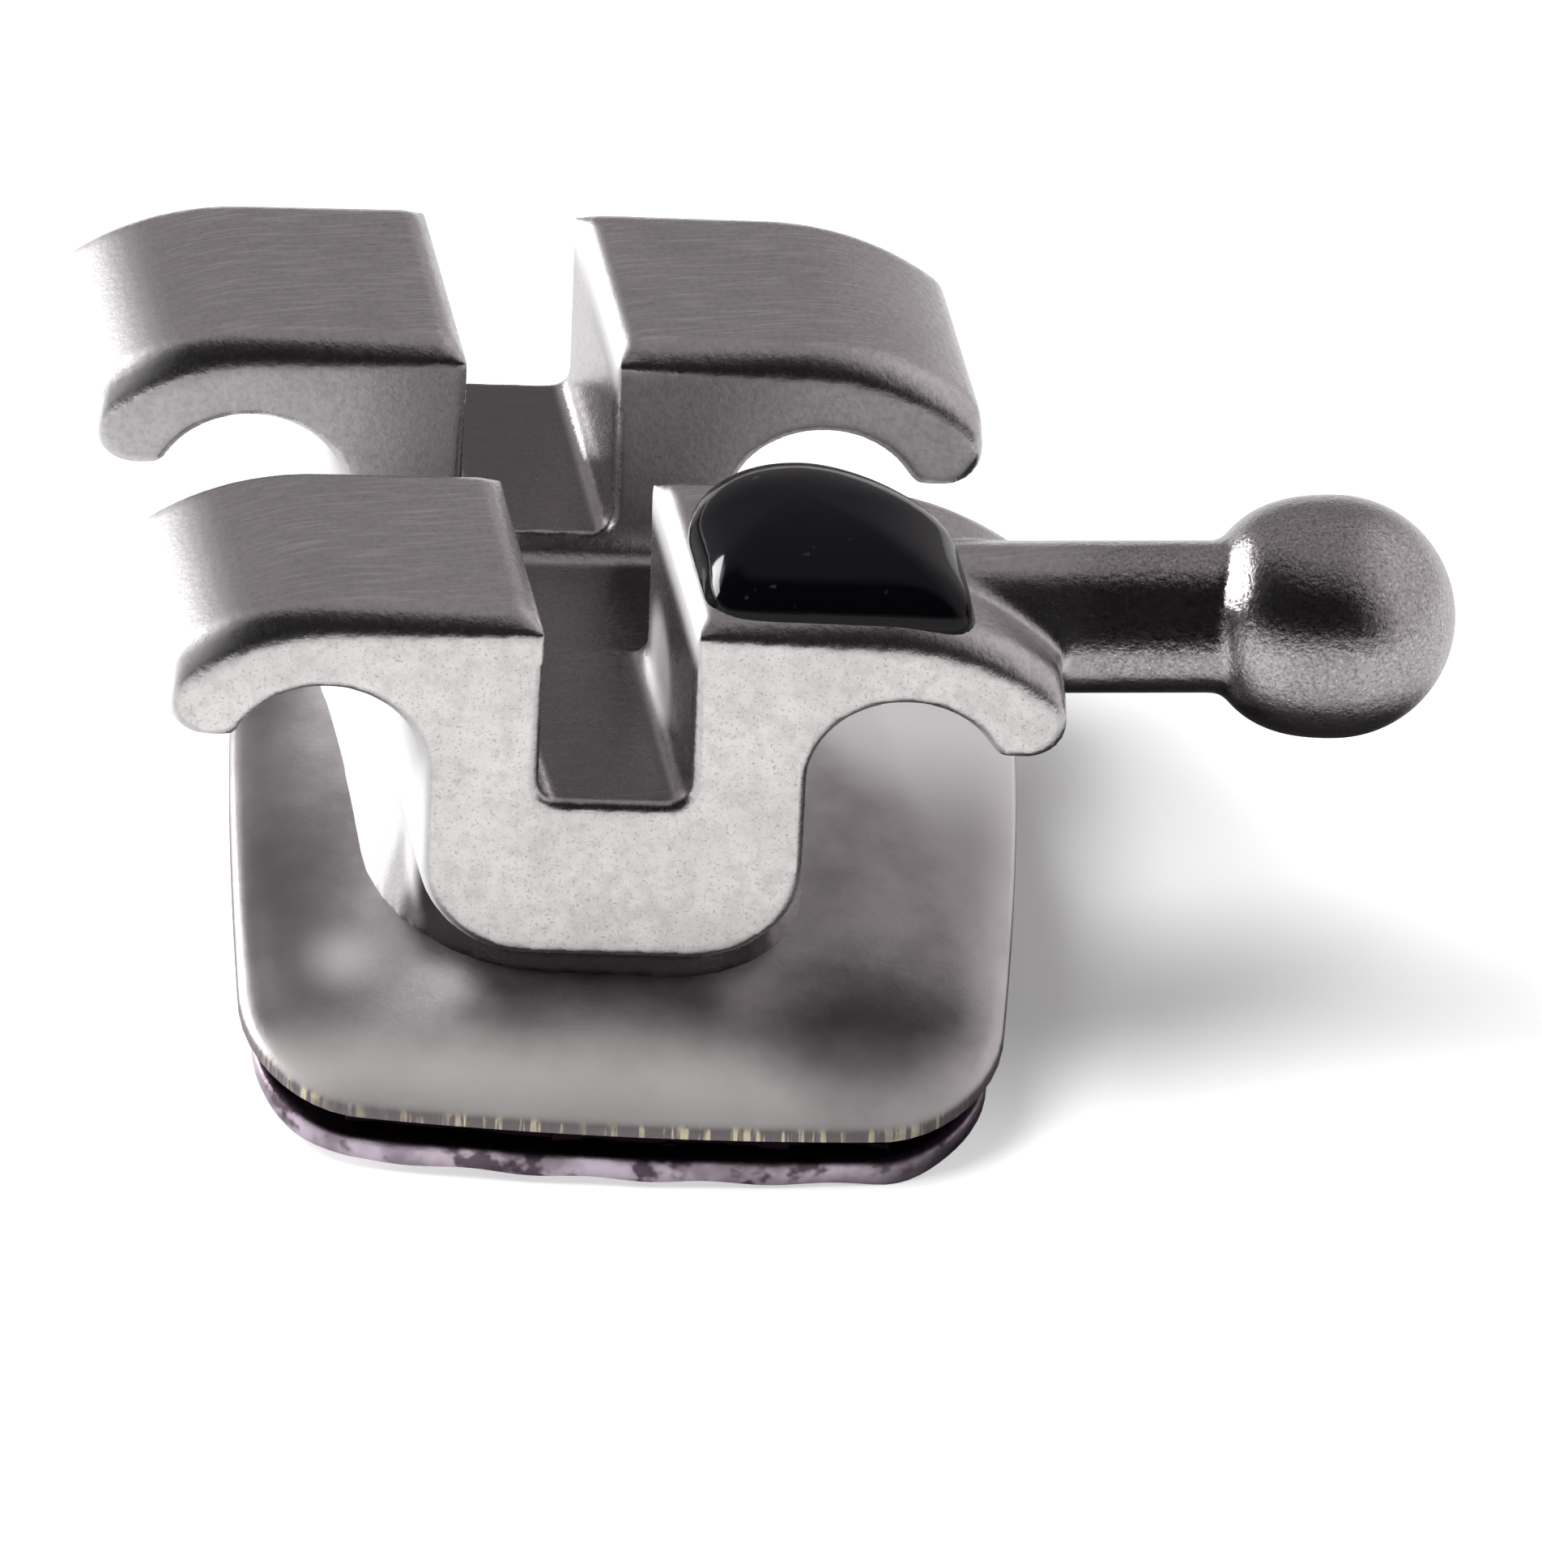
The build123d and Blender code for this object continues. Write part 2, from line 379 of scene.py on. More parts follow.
def footBlock(lowHalf, highHalf, halfLength, corner, setting):
    clearSelection()
    bpy.ops.mesh.primitive_cube_add(size=2)
    block = bpy.context.object
    block.name = "foot"
    low, top = foot["low"], foot["top"]
    block.scale = (lowHalf, halfLength * cos(tooth["tip"]), (top - low) / 2)
    block.location = (0, 0, (top + low) / 2)
    bpy.ops.object.transform_apply(location=True, rotation=True, scale=True)
    editPiece(block)
    pickIn(block, "FACE", lambda f: f.normal.z > straight)
    bpy.ops.transform.resize(value=(highHalf / lowHalf, 1, 1), center_override=(0, 0, top))
    pickIn(block, "EDGE", lambda e: abs(e.verts[0].co.z - e.verts[1].co.z) > slack)
    bpy.ops.mesh.bevel(offset=corner, segments=body["roundSteps"], affect="EDGES")
    leaveEdit()
    placeMesh(block, setting)
    cutWith(block, toothCutter(pad["low"] + pad["thickness"] - foot["sunk"]))
    return block


def hookPlace():
    p = body
    tipY = hook["setback"] - p["halfLength"] - p["tipX"] * endNormal.x / endNormal.y
    root = Vector((p["tipX"], tipY, p["top"] - hook["depth"]))
    tip = tooth["tip"]
    along = Vector((cos(tip) * cos(hook["rise"]), -sin(tip) * cos(hook["rise"]), sin(hook["rise"])))
    return root, along


def hookPost():
    root, along = hookPlace()
    length = hook["rootInside"] + hook["reach"]
    clearSelection()
    bpy.ops.mesh.primitive_cylinder_add(vertices=hook["postSides"], radius=hook["postRadius"], depth=length)
    post = bpy.context.object
    post.name = "hookPost"
    # the round section is squared a little, with one flat that looks forward and up
    power = hook["postSquareness"]
    for vert in post.data.vertices:
        turn = atan2(vert.co.y, vert.co.x)
        swell = (abs(cos(turn)) ** power + abs(sin(turn)) ** power) ** (-1 / power)
        vert.co.x *= swell
        vert.co.y *= swell
    middle = root + along * (hook["reach"] - hook["rootInside"]) / 2
    side = Vector((0, 0, 1)).cross(along).normalized()
    above = along.cross(side)
    axes = Matrix((side, above, along)).transposed().to_4x4()
    placeMesh(post, Matrix.Translation(middle) @ axes @ Matrix.Rotation(hook["postTurn"], 4, "Z"))
    # the ligature groove stays clear under the wing
    clearSelection()
    bpy.ops.mesh.primitive_cylinder_add(vertices=hook["grooveSides"], radius=body["grooveRadius"],
                                        depth=hook["grooveLength"], rotation=(pi / 2, 0, 0))
    groove = bpy.context.object
    grooveX = body["stemHalf"] + body["grooveRadius"]
    grooveZ = body["top"] - body["wingThickness"] - body["grooveRadius"]
    groove.location = (grooveX, 0, grooveZ)
    bpy.ops.object.transform_apply(location=True, rotation=True, scale=True)
    cutWith(post, groove)
    return post


def hookBall():
    root, along = hookPlace()
    clearSelection()
    bpy.ops.mesh.primitive_ico_sphere_add(subdivisions=hook["ballFineness"], radius=1)
    ball = bpy.context.object
    # the half towards the post is a little longer and fuller than a sphere
    power = hook["ballFullness"]
    for vert in ball.data.vertices:
        if vert.co.z < 0:
            across = sqrt(vert.co.x ** 2 + vert.co.y ** 2)
            back = -vert.co.z / hook["ballStretch"]
            vert.co *= (across ** power + back ** power) ** (-1 / power)
    axes = along.to_track_quat("Z", "Y").to_matrix().to_4x4()
    size = Matrix.Scale(hook["ballRadius"], 4)
    placeMesh(ball, Matrix.Translation(root + along * hook["reach"]) @ axes @ size)
    return ball


def makeWingBody():
    piece = wingProfile()
    cutWith(piece, saddleBlock())
    chamferWingEnds(piece)
    applyModifier(piece, "BEVEL", width=body["edgeRound"], segments=body["edgeSteps"], limit_method="ANGLE",
                  angle_limit=body["edgeAngle"], use_clamp_overlap=False)
    stand = footBlock(foot["halfWidth"], foot["halfWidth"], foot["halfLength"], foot["cornerRound"],
                      toothTurn)
    flare = footBlock(foot["flareLow"], foot["flareHigh"], foot["flareLength"], foot["flareRound"], endSkew)
    piece = joinPieces(piece, [stand, flare, hookPost(), hookBall()])
    applyModifier(piece, "REMESH", mode="VOXEL", voxel_size=body["voxel"], adaptivity=0)
    applyModifier(piece, "SMOOTH", factor=body["relax"], iterations=body["relaxSteps"])
    return piece


# Bonding pad: an outline with bowed sides, drawn up, rounded at its rim and bent to the tooth

pad = {
    "halfWidth": 1.5,
    "halfLength": 1.98,
    "offset": 0.29,
    "sideBow": 0.09,
    "endBow": 0.13,
    "corner": 0.42,
    "low": 0.25,
    "thickness": 0.1,
    "rimWidth": 0.18,
    "rimHeight": 0.065,
    "rimSteps": 6,
    "rings": 14,
    "sides": 192,
    "searchReach": 4.0,
    "smoothAngle": 40,
}


def outlinePoint(turn, inset=0):
    # where a ray from the middle meets the outline: bowed sides and rounded corners, found by halving
    halfX = pad["halfWidth"] - inset
    halfY = pad["halfLength"] - inset
    corner = pad["corner"] - inset
    dx = cos(turn)
    dy = sin(turn)

    def outside(reach):
        x = abs(dx * reach)
        y = abs(dy * reach)
        sideX = halfX - pad["sideBow"] * (y / (halfY - pad["endBow"])) ** 2
        endY = halfY - pad["endBow"] * (x / (halfX - pad["sideBow"])) ** 2
        if x > sideX or y > endY:
            return True
        cornerX = sideX - corner
        cornerY = endY - corner
        if x > cornerX and y > cornerY:
            return (x - cornerX) ** 2 + (y - cornerY) ** 2 > corner ** 2
        return False

    low, high = 0.0, pad["searchReach"]
    for _ in range(searchSteps):
        reach = (low + high) / 2
        if outside(reach):
            high = reach
        else:
            low = reach
    return dx * low, dy * low


def shapeRing(piece, inset=0):
    # a circle's vertices are moved out to the outline
    for vert in piece.data.vertices:
        vert.co.x, vert.co.y = outlinePoint(atan2(vert.co.y, vert.co.x), inset)
    piece.data.update()


def ringInwards(steps):
    # fills a face with shrinking rings, so that it can be bent
    for step in range(steps):
        share = (steps - 1 - step) / (steps - step) if step < steps - 1 else 0.0
        bpy.ops.mesh.extrude_region_move(TRANSFORM_OT_translate={"value": (0, 0, 0)})
        share = max(share, smallestRing)
        bpy.ops.transform.resize(value=(share, share, 1), center_override=(0, 0, 0))
    bpy.ops.mesh.merge(type="COLLAPSE")


def makePad():
    clearSelection()
    bpy.ops.mesh.primitive_circle_add(vertices=pad["sides"], radius=1, fill_type="NGON")
    piece = bpy.context.object
    shapeRing(piece)
    editPiece(piece)
    bpy.ops.transform.translate(value=(0, 0, pad["low"]))
    wall = pad["thickness"] - pad["rimHeight"]
    bpy.ops.mesh.extrude_region_move(TRANSFORM_OT_translate={"value": (0, 0, wall)})
    # the rim: a quarter of an ellipse in small insets
    steps = pad["rimSteps"]
    for step in range(steps):
        near = step / steps * pi / 2
        far = (step + 1) / steps * pi / 2
        inward = pad["rimWidth"] * (cos(near) - cos(far))
        upward = pad["rimHeight"] * (sin(far) - sin(near))
        bpy.ops.mesh.inset(thickness=inward, depth=0)
        bpy.ops.transform.translate(value=(0, 0, upward))
    bpy.ops.mesh.select_mode(type="FACE")
    ringInwards(pad["rings"])
    pickIn(piece, "FACE", lowerFace)
    ringInwards(pad["rings"])
    leaveEdit()
    mendNormals(piece)
    placeMesh(piece, Matrix.Translation((pad["offset"], 0, 0)))
    bendPiece(piece)
    placeMesh(piece, toothTurn)
    return piece


# Bonding mesh: wires woven over and under, cut to the pad's outline and bent with it

weave = {
    "wireRadius": 0.06,
    "lift": 0.024,
    "middle": 0.084,
    "alongPitch": 0.39,
    "alongCount": 8,
    "acrossPitch": 0.375,
    "acrossCount": 11,
    "inset": 0.11,
    "hemInset": 0.055,
    "hemDepth": 0.17,
    "hemHeight": 0.11,
    "hemSides": 288,
    "hemRound": 0.033,
    "hemRoundAngle": radians(40),
    "hemRoundSteps": 2,
    "hemWave": 0.006,
    "hemWaves": 27,
    "shadeSheetLow": 0.108,
    "shadeSheetInset": 0.12,
    "shadeSheetRings": 14,
    "sides": 10,
    "stepsPerPitch": 8,
    "alongLength": 4.4,
    "acrossLength": 3.6,
    "shortest": 0.2,
    "smoothAngle": 60,
}


def straightWire(length, pitch):
    steps = int(round(length / pitch * weave["stepsPerPitch"]))
    clearSelection()
    bpy.ops.mesh.primitive_circle_add(vertices=weave["sides"], radius=weave["wireRadius"], fill_type="NGON",
                                      rotation=(pi / 2, 0, 0))
    wire = bpy.context.object
    bpy.ops.object.transform_apply(location=True, rotation=True, scale=True)
    editPiece(wire)
    bpy.ops.transform.translate(value=(0, -length / 2, 0))
    for _ in range(steps):
        bpy.ops.mesh.extrude_region_move(TRANSFORM_OT_translate={"value": (0, length / steps, 0)})
    leaveEdit()
    mendNormals(wire)
    return wire


def outlineReach(offset, alongSide):
    # how far a wire at that offset runs before the outline cuts it
    low, high = 0.0, pad["searchReach"]
    for _ in range(searchSteps):
        reach = (low + high) / 2
        x, y = (offset, reach) if alongSide else (reach, offset)
        edgeX, edgeY = outlinePoint(atan2(y, x), weave["inset"])
        if x * x + y * y < edgeX ** 2 + edgeY ** 2:
            low = reach
        else:
            high = reach
    return low


def wovenWire(model, index, count, pitch, otherPitch, alongSide):
    offset = (index - (count - 1) / 2) * pitch
    reach = outlineReach(abs(offset), alongSide)
    if reach < weave["shortest"]:
        return None
    copy = model.copy()
    copy.data = model.data.copy()
    bpy.context.collection.objects.link(copy)
    editPiece(copy)
    for side in (-1, 1):
        bpy.ops.mesh.select_all(action="SELECT")
        bpy.ops.mesh.bisect(plane_co=(0, side * reach, 0), plane_no=(0, side, 0),
                            use_fill=True, clear_outer=True)
    leaveEdit()
    otherCount = weave["acrossCount"] if alongSide else weave["alongCount"]
    first = -(otherCount - 1) / 2 * otherPitch
    sign = (1 if index % 2 else -1) * (1 if alongSide else -1)
    for vert in copy.data.vertices:
        phase = (vert.co.y - first) / otherPitch * pi
        vert.co.z += weave["middle"] + sign * weave["lift"] * cos(phase)
    turn = Matrix.Identity(4) if alongSide else Matrix.Rotation(-pi / 2, 4, "Z")
    place = Matrix.Translation((offset, 0, 0)) if alongSide else Matrix.Translation((0, offset, 0))
    placeMesh(copy, place @ turn)
    return copy


def makeShadeSheet():
    # a thin dark sheet between the wires and the pad, put there to stand for the shade in that gap
    clearSelection()
    bpy.ops.mesh.primitive_circle_add(vertices=pad["sides"], radius=1, fill_type="NGON")
    shadeSheet = bpy.context.object
    shapeRing(shadeSheet, weave["shadeSheetInset"])
    editPiece(shadeSheet)
    bpy.ops.transform.translate(value=(0, 0, weave["shadeSheetLow"]))
    shadeSheetDepth = pad["low"] - weave["shadeSheetLow"]
    bpy.ops.mesh.extrude_region_move(TRANSFORM_OT_translate={"value": (0, 0, shadeSheetDepth)})
    bpy.ops.mesh.select_mode(type="FACE")
    ringInwards(weave["shadeSheetRings"])
    pickIn(shadeSheet, "FACE", lowerFace)
    ringInwards(weave["shadeSheetRings"])
    leaveEdit()
    mendNormals(shadeSheet)
    return shadeSheet


def makeHem():
    # the cut wire ends, run together round the outline
    clearSelection()
    bpy.ops.mesh.primitive_circle_add(vertices=weave["hemSides"], radius=1, fill_type="NOTHING")
    hem = bpy.context.object
    shapeRing(hem, weave["hemInset"])
    editPiece(hem)
    bpy.ops.mesh.select_mode(type="EDGE")
    bpy.ops.mesh.select_all(action="SELECT")
    bpy.ops.mesh.extrude_region_move(TRANSFORM_OT_translate={"value": (0, 0, weave["hemHeight"])})
    leaveEdit()
    mendNormals(hem)
    applyModifier(hem, "SOLIDIFY", thickness=weave["hemDepth"], offset=-1)
    applyModifier(hem, "BEVEL", width=weave["hemRound"], segments=weave["hemRoundSteps"],
                  limit_method="ANGLE", angle_limit=weave["hemRoundAngle"])
    for vert in hem.data.vertices:
        vert.co.z += weave["hemWave"] * cos(weave["hemWaves"] * atan2(vert.co.y, vert.co.x))
    mendNormals(hem)
    return hem


def makeWeave():
    wires = []
    alongModel = straightWire(weave["alongLength"], weave["acrossPitch"])
    acrossModel = straightWire(weave["acrossLength"], weave["alongPitch"])
    for index in range(weave["alongCount"]):
        wires.append(wovenWire(alongModel, index, weave["alongCount"], weave["alongPitch"],
                               weave["acrossPitch"], True))
    for index in range(weave["acrossCount"]):
        wires.append(wovenWire(acrossModel, index, weave["acrossCount"], weave["acrossPitch"],
                               weave["alongPitch"], False))
    wires = [wire for wire in wires if wire]
    bpy.data.objects.remove(alongModel)
    bpy.data.objects.remove(acrossModel)
    piece = joinPieces(wires[0], wires[1:] + [makeShadeSheet(), makeHem()])
    placeMesh(piece, Matrix.Translation((pad["offset"], 0, 0)))
    bendPiece(piece)
    placeMesh(piece, toothTurn)
    return piece


# Resin dot: a rounded plan drawn up ring by ring into a dome

dot = {
    "slotSide": 0.335,
    "hookSide": 1.33,
    "nearSide": -1.43,
    "farSide": -0.46,
    "nearSquareness": 8,
    "farSquareness": 2.1,
    "height": 0.235,
    "sunk": 0.09,
    "footSpread": 1.04,
    "steps": 14,
    "fullness": 2.2,
    "crown": 0.62,
    "ringPower": 1.6,
    "farCut": 0.2,
    "farCutPower": 1.5,
    "sides": 128,
    "peak": (-0.1, 0.03),
}


def makeDot():
    p = dot
    clearSelection()
    bpy.ops.mesh.primitive_circle_add(vertices=p["sides"], radius=1, fill_type="NGON")
    piece = bpy.context.object
    halfX = (p["hookSide"] - p["slotSide"]) / 2
    halfY = (p["farSide"] - p["nearSide"]) / 2
    for vert in piece.data.vertices:
        turn = atan2(vert.co.y, vert.co.x)
        c, s = cos(turn), sin(turn)
        power = p["farSquareness"] if s > 0 else p["nearSquareness"]
        reach = (abs(c) ** power + abs(s) ** power) ** (-1 / power)
        # the far corner beside the hook is cut back, so the near one stands out as a point
        cut = 1 - p["farCut"] * max(c, 0) ** p["farCutPower"] if s > 0 else 1
        vert.co.x = halfX * c * reach * p["footSpread"]
        vert.co.y = halfY * s * reach * cut * p["footSpread"]
    editPiece(piece)
    bpy.ops.transform.translate(value=(0, 0, -p["sunk"]))
    bpy.ops.mesh.extrude_region_move(TRANSFORM_OT_translate={"value": (0, 0, p["sunk"])})
    drawnIn = 1 / p["footSpread"]
    bpy.ops.transform.resize(value=(drawnIn, drawnIn, 1), center_override=(0, 0, 0))
    shrink = 1.0
    height = 0.0
    for step in range(1, p["steps"] + 1):
        share = step / p["steps"]
        nextShrink = max(1 - share ** p["ringPower"], smallestRing)
        nextHeight = p["height"] * (1 - nextShrink ** p["fullness"]) ** p["crown"]
        bpy.ops.mesh.extrude_region_move(TRANSFORM_OT_translate={"value": (0, 0, nextHeight - height)})
        bpy.ops.transform.resize(value=(nextShrink / shrink, nextShrink / shrink, 1),
                                 center_override=(*p["peak"], 0))
        shrink, height = nextShrink, nextHeight
    leaveEdit()
    mendNormals(piece)
    middleX = (p["slotSide"] + p["hookSide"]) / 2
    middleY = (p["nearSide"] + p["farSide"]) / 2
    slope = endNormal.x / endNormal.y
    for vert in piece.data.vertices:
        x = vert.co.x + middleX
        vert.co = (x, vert.co.y + middleY - x * slope, vert.co.z + body["top"])
    piece.data.update()
    return piece


# Finishes: each has its values beside it; a range is where a ramp starts and ends

class Feed:
    # one output socket, with arithmetic
    def __init__(self, finish, socket):
        self.finish = finish
        self.socket = socket

    def maths(self, kind, first, second):
        return self.finish.node("Math", {"operation": kind}, {0: first, 1: second})

    def __add__(self, other):
        return self.maths("ADD", self, other)

    def __radd__(self, other):
        return self.maths("ADD", other, self)

    def __sub__(self, other):
        return self.maths("SUBTRACT", self, other)

    def __rsub__(self, other):
        return self.maths("SUBTRACT", other, self)

    def __mul__(self, other):
        return self.maths("MULTIPLY", self, other)

    def __rmul__(self, other):
        return self.maths("MULTIPLY", other, self)

    def __truediv__(self, other):
        return self.maths("DIVIDE", self, other)

    def __pow__(self, other):
        return self.maths("POWER", self, other)


class Finish:
    def __init__(self, name, world=None):
        self.holder = world or bpy.data.materials.new(name)
        self.holder.use_nodes = True
        self.tree = self.holder.node_tree
        self.tree.nodes.clear()

    def node(self, kind, settings=None, values=None, out=0):
        made = self.tree.nodes.new("ShaderNode" + kind)
        for key, value in (settings or {}).items():
            setattr(made, key, value)
        for key, value in (values or {}).items():
            socket = made.inputs[key]
            if isinstance(value, Feed):
                self.tree.links.new(value.socket, socket)
            else:
                socket.default_value = value
        return Feed(self, made.outputs[out]) if made.outputs else made

    def place(self, scale=(1000, 1000, 1000), turn=(0, 0, 0), move=(0, 0, 0)):
        # object coordinates in millimetres, turned and stretched
        spot = self.node("TexCoord", out="Object")
        values = {"Vector": spot, "Scale": scale, "Rotation": turn, "Location": move}
        return self.node("Mapping", None, values)

    def axis(self, vector, letter):
        return self.node("SeparateXYZ", None, {"Vector": vector}, letter)

    def away(self, place):
        # distance in millimetres from a place
        offset = self.place(move=[-value for value in place])
        return self.node("VectorMath", {"operation": "LENGTH"}, {0: offset}, "Value")

    def facing(self, direction):
        # how far a face looks along a direction of the object's own
        normal = self.node("NewGeometry", out="Normal")
        return self.dot(normal, direction)

    def dot(self, vector, direction):
        values = {0: vector, 1: tuple(direction)}
        return self.node("VectorMath", {"operation": "DOT_PRODUCT"}, values, "Value")

    def noise(self, place, scale, detail, rough):
        values = {"Vector": place, "Scale": scale, "Detail": detail, "Roughness": rough}
        return self.node("TexNoise", None, values, "Fac")

    def ramp(self, value, start, end):
        # rises from 0 at the start to 1 at the end, which may lie below it
        return self.node("MapRange", {"interpolation_type": "SMOOTHSTEP"},
                         {"Value": value, "From Min": start, "From Max": end, "To Min": 0, "To Max": 1})

    def mix(self, share, first, second):
        return self.node("Mix", {"data_type": "RGBA"}, {0: share, 6: first, 7: second}, 2)

    def tint(self, tone, value, coat, where=1):
        # a coat's colour laid over the tone as the value goes through the coat's range
        share = self.ramp(value, *coat["range"]) * coat["share"] * where
        return self.mix(share, tone, coat["colour"])

    def bump(self, height, strength, distance, under=None):
        values = {"Height": height, "Strength": strength, "Distance": distance}
        if under:
            values["Normal"] = under
        return self.node("Bump", None, values)

    def end(self, **values):
        shader = self.node("BsdfPrincipled", None, values)
        self.node("OutputMaterial", None, {"Surface": shader})


noiseMiddle = 0.5
upwards = (0, 0, 1)
leftwards = (-1, 0, 0)

bodyLook = {
    "grainNoise": (38, 4, 0.65),
    "speckNoise": (85, 2, 0.6),
    "cloudNoise": (3.0, 4, 0.6),
    "mottleNoise": (13, 3, 0.6),
    "streakNoise": (1.0, 4, 0.6),
    "streakStretch": (4000, 60000, 4000),
    "endFacing": (0.95, 0.992),
    "nearEnd": (-1.41, -1.46),
    "topFacing": (0.9, 0.99),
    "steel": (0.52, 0.505, 0.51, 1),
    "steelLight": (0.66, 0.64, 0.64, 1),
    "grain": {"range": (0.35, 0.75), "share": 0.45, "colour": (0.34, 0.325, 0.33, 1)},
    "streak": {"range": (0.45, 0.7), "share": 0.5, "colour": (0.85, 0.83, 0.83, 1)},
    "pale": (0.77, 0.76, 0.745, 1),
    "paleCloud": {"range": (0.3, 0.7), "share": 1, "colour": (0.88, 0.87, 0.85, 1)},
    "paleMottle": {"range": (0.42, 0.68), "share": 0.4, "colour": (0.58, 0.57, 0.56, 1)},
    "palePits": {"range": (0.57, 0.7), "share": 0.6, "colour": (0.36, 0.35, 0.35, 1)},
    "paleGrain": {"range": (0.45, 0.8), "share": 0.35, "colour": (0.5, 0.49, 0.48, 1)},
    "hook": {"range": (1.65, 1.9), "share": 0.4, "colour": (0.3, 0.28, 0.29, 1)},
    "hookPits": {"range": (0.5, 0.66), "share": 0.55, "colour": (0.12, 0.105, 0.105, 1)},
    "hookSparks": {"range": (0.42, 0.3), "share": 0.5, "colour": (0.9, 0.86, 0.8, 1)},
    "hookCoarseness": 1.6,
    "wallFacing": (0.34, 0.8),
    "leftLightColour": (0.72, 0.715, 0.72, 1),
    "wallDullness": 0.75,
    "slotHalf": (0.36, 0.42),
    "slotGlint": (0.28, -0.8, 1.1),
    "slotGlintReach": (0.36, 0.1),
    "slotTop": (1.5, 1.7),
    "slotShine": 0.9,
    "slotFloor": {"range": (1.4, 1.0), "share": 0.9, "colour": (0.17, 0.155, 0.16, 1)},
    "recessFacing": (0.4, 0.8),
    "recessHeight": (0.95, 0.6),
    "recessShare": 0.95,
    "recessColour": (0.04, 0.034, 0.036, 1),
    "rough": {"base": 0.19, "hook": -0.05, "grain": 0.14, "end": 0.22, "wall": 0.3, "streak": 0.14},
    "grainRelief": (0.13, 0.00002),
    "streakRelief": (0.2, 0.00001),
}


def bodySteel():
    f = Finish("bodySteel")
    look = bodyLook
    spot = f.place()
    grain = f.noise(spot, *look["grainNoise"])
    speck = f.noise(spot, *look["speckNoise"])
    cloud = f.noise(spot, *look["cloudNoise"])
    mottle = f.noise(spot, *look["mottleNoise"])
    streak = f.noise(f.place(look["streakStretch"]), *look["streakNoise"])
    across = f.axis(spot, "X")
    height = f.axis(spot, "Z")
    endFace = f.ramp(f.facing(-endNormal), *look["endFacing"])
    near = f.ramp(f.dot(spot, endNormal), *look["nearEnd"])
    topFace = f.ramp(f.facing(upwards), *look["topFacing"])
    onHook = f.ramp(across, *look["hook"]["range"])
    # walls that look left are painted pale and dull, as light from the left falls on them; in the slot only
    # along the top and in one soft glint, a painted highlight
    slotNear, slotFar = look["slotHalf"]
    inSlot = f.ramp(across, -slotFar, -slotNear) * f.ramp(across, slotFar, slotNear)
    glint = f.ramp(f.away(look["slotGlint"]), *look["slotGlintReach"])
    shine = f.ramp(f.ramp(height, *look["slotTop"]) + glint, 0, 1)
    wall = f.ramp(f.facing(leftwards), *look["wallFacing"]) * (1 - onHook)
    wall = wall * (1 - inSlot * (1 - look["slotShine"] * shine))
    tone = f.mix(cloud, look["steel"], look["steelLight"])
    tone = f.tint(tone, grain, look["grain"])
    tone = f.tint(tone, streak, look["streak"], topFace)
    tone = f.tint(tone, across, look["hook"])
    tone = f.tint(tone, speck, look["hookPits"], onHook)
    tone = f.tint(tone, speck, look["hookSparks"], onHook)
    # the near end faces are blasted and pitted, and painted pale as light on them; the far end faces,
    # turned the same way, stay darker as painted shade
    pale = f.tint(look["pale"], cloud, look["paleCloud"])
    pale = f.tint(pale, mottle, look["paleMottle"])
    pale = f.tint(pale, speck, look["palePits"])
    pale = f.tint(pale, grain, look["paleGrain"])
    tone = f.mix(endFace * near, tone, pale)
    # painted light on the walls that look left
    tone = f.mix(wall, tone, look["leftLightColour"])
    # upward faces low in the body, the slot floor among them, are painted dark as shade
    tone = f.tint(tone, height, look["slotFloor"], topFace)
    # the foot under the near end is in the dark
    recess = f.ramp(f.facing(-endNormal), *look["recessFacing"]) * (1 - near)
    recess = recess * f.ramp(height, *look["recessHeight"])
    tone = f.mix(recess * look["recessShare"], tone, look["recessColour"])
    r = look["rough"]
    rough = r["base"] + r["hook"] * onHook + r["grain"] * grain + r["end"] * endFace + r["wall"] * wall
    rough = rough + r["streak"] * (streak - noiseMiddle) * topFace
    metal = 1 - look["wallDullness"] * wall * (1 - recess)
    relief = f.bump(grain * (1 + look["hookCoarseness"] * onHook), *look["grainRelief"])
    relief = f.bump(streak * topFace * (1 - onHook), *look["streakRelief"], relief)
    f.end(**{"Base Color": tone, "Metallic": metal, "Roughness": rough, "Normal": relief})
    return f.holder


